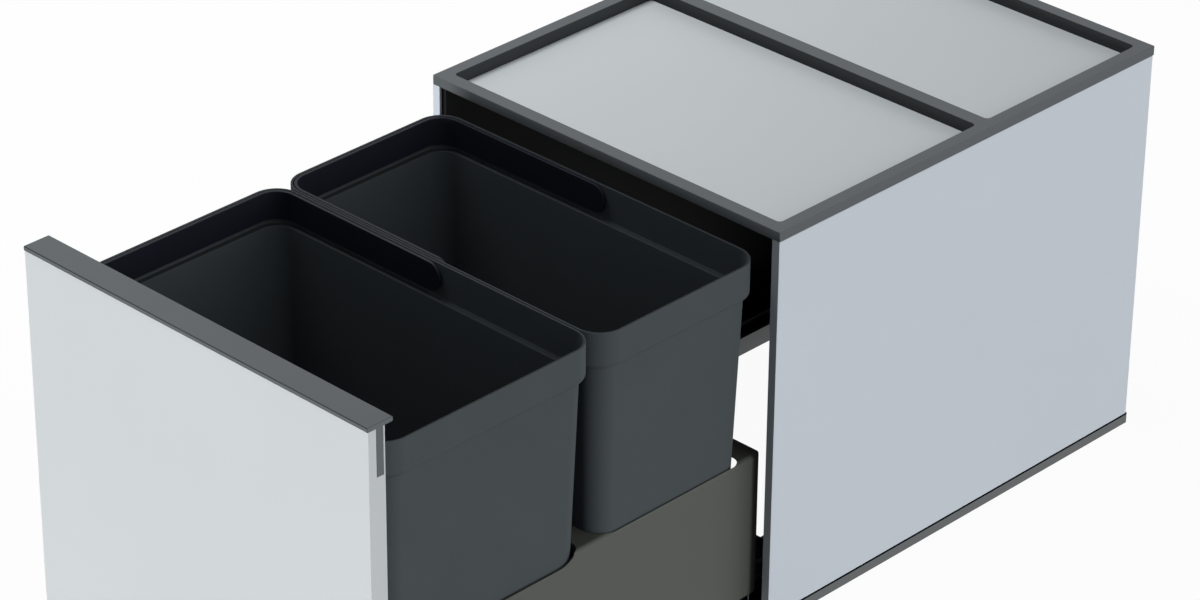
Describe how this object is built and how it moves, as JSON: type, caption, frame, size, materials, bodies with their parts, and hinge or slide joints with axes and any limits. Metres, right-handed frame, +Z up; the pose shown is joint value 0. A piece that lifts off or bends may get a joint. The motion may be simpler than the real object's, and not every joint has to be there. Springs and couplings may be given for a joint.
{
  "type": "pull out bin frame",
  "caption": "Low cabinet with a framed top and a pull-out steel bin frame on telescopic runners, a board front with a T-profile handle and lift-out bins with swinging bails.",
  "frame": {"origin": "middle of the carcass footprint, on the floor, at the centre of the floor screw pattern", "axes": "+X to the right seen from the front, +Y to the back, along the slide, +Z up"},
  "size_m": [0.45, 1.047, 0.4347],
  "materials": {
    "front_board": "light grey laminated board, satin",
    "top_board": "light grey laminated board, satin",
    "side_board": "light cool grey laminated board, satin",
    "dark_aluminium": "dark grey anodised, satin",
    "liner": "thin black-faced board, matt",
    "runner_steel": "zinc plated steel",
    "fastener_steel": "bright steel",
    "painted_steel": "warm dark grey powder coat",
    "bin_plastic": "dark grey moulded plastic, fine matt grain",
    "bail_plastic": "blue-black moulded plastic, satin",
    "black_plastic": "black moulded plastic, matt"
  },
  "bodies": {
    "carcass": {"side_board_left": "side_board", "side_board_right": "side_board", "liner_left": "liner", "liner_right": "liner", "back_panel": "liner", "top_frame": "dark_aluminium", "top_panel_front": "top_board", "top_panel_rear": "top_board", "bottom_rail_left": "dark_aluminium", "bottom_rail_right": "dark_aluminium", "cross_rail_front": "dark_aluminium", "cross_rail_rear": "dark_aluminium", "carcass_screws": "fastener_steel", "cabinet_runner_left": "runner_steel", "cabinet_runner_right": "runner_steel", "soft_close_left": "black_plastic", "soft_close_right": "black_plastic", "runner_screws": "fastener_steel"},
    "lower_cages": {"lower_cage_left": "black_plastic", "lower_cage_right": "black_plastic", "lower_rollers_left": "fastener_steel", "lower_rollers_right": "fastener_steel"},
    "middle_runners": {"middle_runner_left": "runner_steel", "middle_runner_right": "runner_steel"},
    "upper_cages": {"upper_cage_left": "black_plastic", "upper_cage_right": "black_plastic", "upper_rollers_left": "fastener_steel", "upper_rollers_right": "fastener_steel"},
    "pull_out": {"drawer_runner_left": "runner_steel", "drawer_runner_right": "runner_steel", "rear_bracket_left": "black_plastic", "rear_bracket_right": "black_plastic", "bin_frame": "painted_steel", "frame_floor": "painted_steel", "frame_divider": "painted_steel", "drawer_front": "front_board", "handle_profile": "dark_aluminium", "front_bracket_left": "runner_steel", "front_bracket_right": "runner_steel", "front_screws": "fastener_steel"},
    "front_bin": {"front_bin": "bin_plastic"},
    "rear_bin": {"rear_bin": "bin_plastic"},
    "front_bail": {"front_bin_handle": "bail_plastic"},
    "rear_bail": {"rear_bin_handle": "bail_plastic"}
  },
  "joints": [
    {"name": "pull_out_slide", "type": "slide", "parent": "carcass", "child": "pull_out", "axis": [0, -1, 0], "range_m": [-0.485, 0]},
    {"name": "middle_runner_slide", "type": "slide", "parent": "carcass", "child": "middle_runners", "axis": [0, -1, 0], "range_m": [-0.2425, 0]},
    {"name": "lower_cage_slide", "type": "slide", "parent": "carcass", "child": "lower_cages", "axis": [0, -1, 0], "range_m": [-0.12125, 0]},
    {"name": "upper_cage_slide", "type": "slide", "parent": "carcass", "child": "upper_cages", "axis": [0, -1, 0], "range_m": [-0.36375, 0]},
    {"name": "front_bin_lift", "type": "slide", "parent": "pull_out", "child": "front_bin", "axis": [0, 0, 1], "range_m": [0, 0.38]},
    {"name": "rear_bin_lift", "type": "slide", "parent": "pull_out", "child": "rear_bin", "axis": [0, 0, 1], "range_m": [0, 0.38]},
    {"name": "front_bail_swing", "type": "hinge", "parent": "front_bin", "child": "front_bail", "pos_m": [0, -0.6167, 0.3811], "axis": [0, 1, 0], "range_deg": [0, 180]},
    {"name": "rear_bail_swing", "type": "hinge", "parent": "rear_bin", "child": "rear_bail", "pos_m": [0, -0.37975, 0.3811], "axis": [0, 1, 0], "range_deg": [0, 180]}
  ],
  "couplings": [
    {"joint": "middle_runner_slide", "follows": "pull_out_slide", "ratio": 0.5},
    {"joint": "lower_cage_slide", "follows": "pull_out_slide", "ratio": 0.25},
    {"joint": "upper_cage_slide", "follows": "pull_out_slide", "ratio": 0.75}
  ]
}
